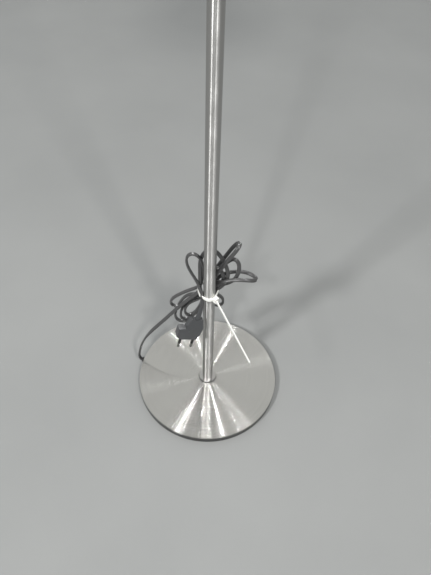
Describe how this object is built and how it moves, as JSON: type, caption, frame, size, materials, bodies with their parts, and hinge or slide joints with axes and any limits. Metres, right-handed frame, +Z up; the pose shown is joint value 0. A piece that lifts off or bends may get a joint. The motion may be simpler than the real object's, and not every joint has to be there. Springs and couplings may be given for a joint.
{
  "type": "arc floor lamp",
  "caption": "Floor lamp: weighted round base, slim two-section pole, swivelling arched arm with a tilting dome head, and its mains lead tied in a hank on the pole.",
  "frame": {"origin": "centre of the base on the floor", "axes": "+Z up along the pole; +X towards the head when the arm is at rest; +Y away from the side where the plug hangs"},
  "size_m": [0.6359, 0.22, 1.6978],
  "materials": {
    "brushed_disc": "circular-brushed satin",
    "cast_iron": "rough cast, black wash",
    "pad_foam": "fine-cell foam",
    "polished_collar": "polished",
    "insert_brass": "turned",
    "zinc_steel": "zinc-plated",
    "grommet_rubber": "moulded",
    "lead_sheath": "satin flexible sheath",
    "brushed_tube": "brushed round the tube",
    "nylon": "natural moulded",
    "tie_nylon": "natural white, smooth",
    "plug_plastic": "fine spark-eroded texture",
    "pin_nickel": "nickel-plated",
    "black_plastic": "moulded",
    "satin_nickel": "satin",
    "shade_metal": "spun and brushed, white inside",
    "bulb_glass": "frosted",
    "button_plastic": "moulded",
    "wire_pvc": "insulated wire"
  },
  "bodies": {
    "stand": {"base_cover": "brushed_disc", "base_weight": "cast_iron", "floor_pad": "pad_foam", "pole_collar": "polished_collar", "foot_insert": "insert_brass", "foot_stud": "zinc_steel", "foot_washer": "zinc_steel", "foot_nut": "zinc_steel", "cord_grommet": "grommet_rubber", "cord_clamp": "zinc_steel", "clamp_screws": "zinc_steel", "inner_lead": "lead_sheath", "lower_pole": "brushed_tube", "joiner_insert_lower": "insert_brass", "joiner_insert_upper": "insert_brass", "joiner_stud": "zinc_steel", "upper_pole": "brushed_tube", "swivel_bush": "nylon", "cable_tie": "tie_nylon", "cord_riser": "lead_sheath", "cord_hank": "lead_sheath", "cord_tail": "lead_sheath", "plug_strain_relief": "plug_plastic", "plug_body": "plug_plastic", "plug_pins": "pin_nickel", "plug_pin_sleeves": "black_plastic"},
    "arm": {"arm_spigot": "zinc_steel", "swivel_stop_pin": "zinc_steel", "set_screws": "zinc_steel", "arc_tube": "brushed_tube", "arm_end_socket": "brushed_tube", "arm_lead": "lead_sheath", "knuckle_fork": "satin_nickel", "friction_washers": "nylon", "pivot_bolt": "pin_nickel", "pivot_nut": "pin_nickel"},
    "head": {"knuckle_tongue": "satin_nickel", "cup_nut": "zinc_steel", "holder_cup": "satin_nickel", "lampholder": "black_plastic", "shade": "shade_metal", "shade_ring": "black_plastic", "bulb_glass": "bulb_glass", "bulb_cap": "pin_nickel", "switch_body": "black_plastic", "head_wires": "wire_pvc"},
    "button": {"switch_button": "button_plastic"}
  },
  "joints": [
    {"name": "arm_swivel", "type": "hinge", "parent": "stand", "child": "arm", "pos_m": [0, 0, 1.4525], "axis": [0, 0, 1], "range_deg": [-155, 155]},
    {"name": "head_tilt", "type": "hinge", "parent": "arm", "child": "head", "pos_m": [0.41036, 0, 1.55276], "axis": [0, 1, 0], "range_deg": [-60, 45]},
    {"name": "switch_press", "type": "slide", "parent": "head", "child": "button", "axis": [0, 0, -1], "range_m": [0, 0.0025], "stiffness_N_per_m": 400}
  ]
}
